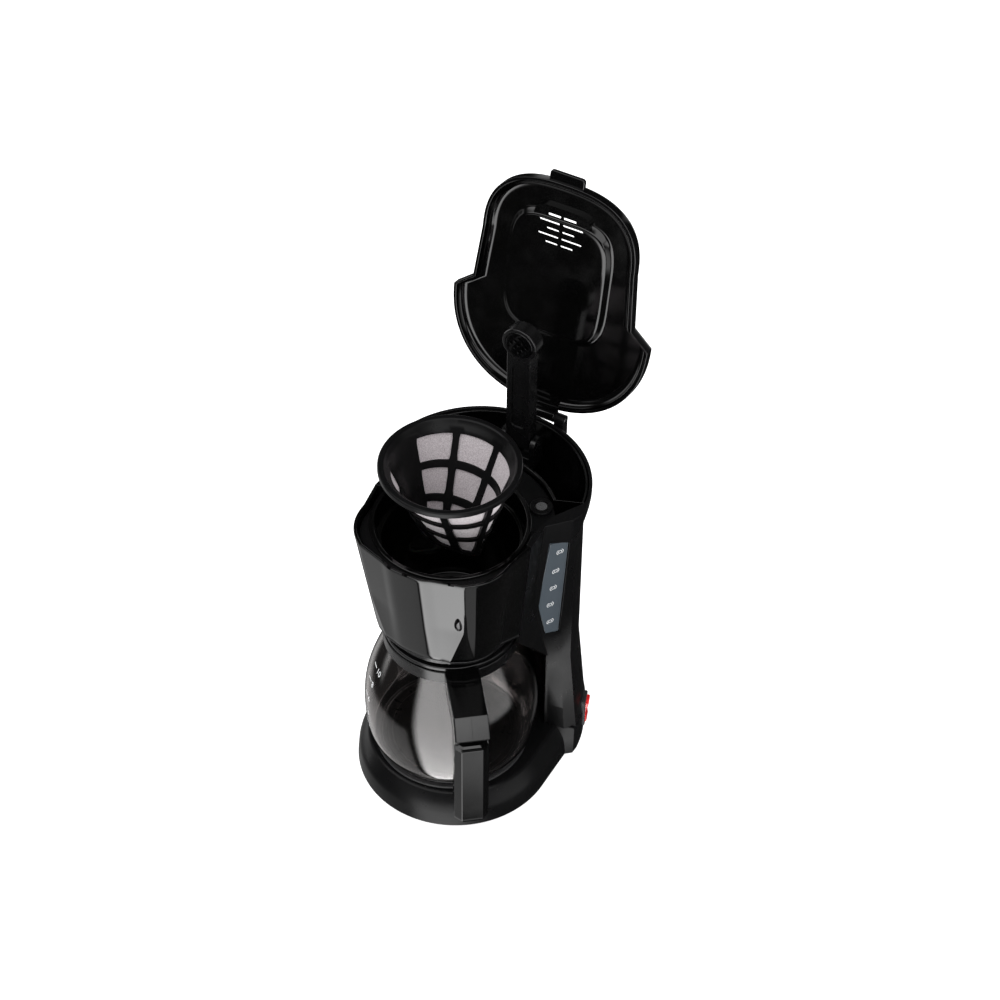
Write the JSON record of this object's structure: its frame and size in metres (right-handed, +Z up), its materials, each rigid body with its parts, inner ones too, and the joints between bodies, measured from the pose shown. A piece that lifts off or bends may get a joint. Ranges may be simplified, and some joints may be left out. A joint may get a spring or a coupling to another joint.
{
  "type": "drip coffee maker",
  "caption": "Compact drip coffee maker with hinged lid, swinging spray arm, lift-out cone filter, water tank with level window, warming plate and glass jug.",
  "frame": {"origin": "centre of the bounding box of the rest pose, at the bottom of the feet", "axes": "+Z up, front towards -Y, level window on the +X side"},
  "size_m": [0.156, 0.2483, 0.4318],
  "materials": {
    "gloss_black": "polished",
    "satin_black": "satin",
    "matt_black": "matt",
    "smoke_window": "smoked clear plastic",
    "jug_glass": "clear",
    "steel": "plated",
    "aluminium": "satin",
    "ceramic": "fired",
    "silicone": "translucent white",
    "rubber": "matt",
    "red_clear": "translucent red",
    "filter_mesh": "fine woven nylon"
  },
  "bodies": {
    "housing": {"body_shell": "satin_black", "gauge_window": "smoke_window", "cord_gland": "rubber", "bottom_cover": "matt_black", "foot_1": "rubber", "foot_2": "rubber", "foot_3": "rubber", "foot_4": "rubber", "bottom_screw_1": "steel", "bottom_screw_2": "steel", "bottom_screw_3": "steel", "bottom_screw_4": "steel", "warming_plate": "aluminium", "plate_ring": "matt_black", "heating_element": "aluminium", "heater_bracket": "steel", "thermostat": "ceramic", "thermal_fuse": "steel", "water_tank": "satin_black", "check_valve": "matt_black", "cold_hose": "silicone", "hot_hose": "silicone", "riser_tube": "matt_black", "pivot_block": "satin_black", "front_housing": "gloss_black", "lower_cover": "satin_black", "brew_deck": "satin_black", "deck_screw_1": "steel", "deck_screw_2": "steel", "brew_basket": "satin_black", "drip_seal": "silicone", "drip_spring": "steel", "switch_bezel": "matt_black", "hinge_pin": "steel", "arm_pin": "steel"},
    "valve": {"drip_valve": "matt_black"},
    "rocker": {"switch_rocker": "red_clear"},
    "lid": {"lid_cover": "gloss_black", "lid_liner": "gloss_black"},
    "arm": {"spray_arm": "satin_black", "spray_plate": "satin_black"},
    "filter": {"filter_frame": "satin_black", "filter_mesh": "filter_mesh"},
    "jug": {"jug_glass": "jug_glass", "jug_collar": "satin_black", "jug_handle": "gloss_black"},
    "jug_lid": {"jug_lid": "satin_black"}
  },
  "joints": [
    {"name": "lid_hinge", "type": "hinge", "parent": "housing", "child": "lid", "pos_m": [0, 0.0826, 0.2489], "axis": [1, 0, 0], "range_deg": [0, 100.1]},
    {"name": "arm_fold", "type": "hinge", "parent": "housing", "child": "arm", "pos_m": [0, 0.058, 0.243], "axis": [1, 0, 0], "range_deg": [0, 90]},
    {"name": "filter_lift", "type": "slide", "parent": "housing", "child": "filter", "axis": [0, 0, 1], "range_m": [-0.0631, 0]},
    {"name": "jug_slide", "type": "slide", "parent": "housing", "child": "jug", "axis": [0, -1, 0], "range_m": [0, 0.17]},
    {"name": "jug_lid_turn", "type": "hinge", "parent": "jug", "child": "jug_lid", "pos_m": [0, -0.04, 0.149], "axis": [0, 0, 1], "range_deg": [0, 45]},
    {"name": "valve_lift", "type": "slide", "parent": "housing", "child": "valve", "axis": [0, 0, 1], "range_m": [0, 0.003], "stiffness_N_per_m": 120, "springref_m": -0.004, "deforming": ["drip_spring"]},
    {"name": "rocker_tilt", "type": "hinge", "parent": "housing", "child": "rocker", "pos_m": [0.07236, 0.02894, 0.027], "axis": [-0.342, 0.9397, 0], "range_deg": [-12, 0]}
  ],
  "couplings": [
    {"joint": "arm_fold", "follows": "lid_hinge", "ratio": 0.899},
    {"joint": "filter_lift", "follows": "lid_hinge", "m_per_rad": -0.036117}
  ]
}
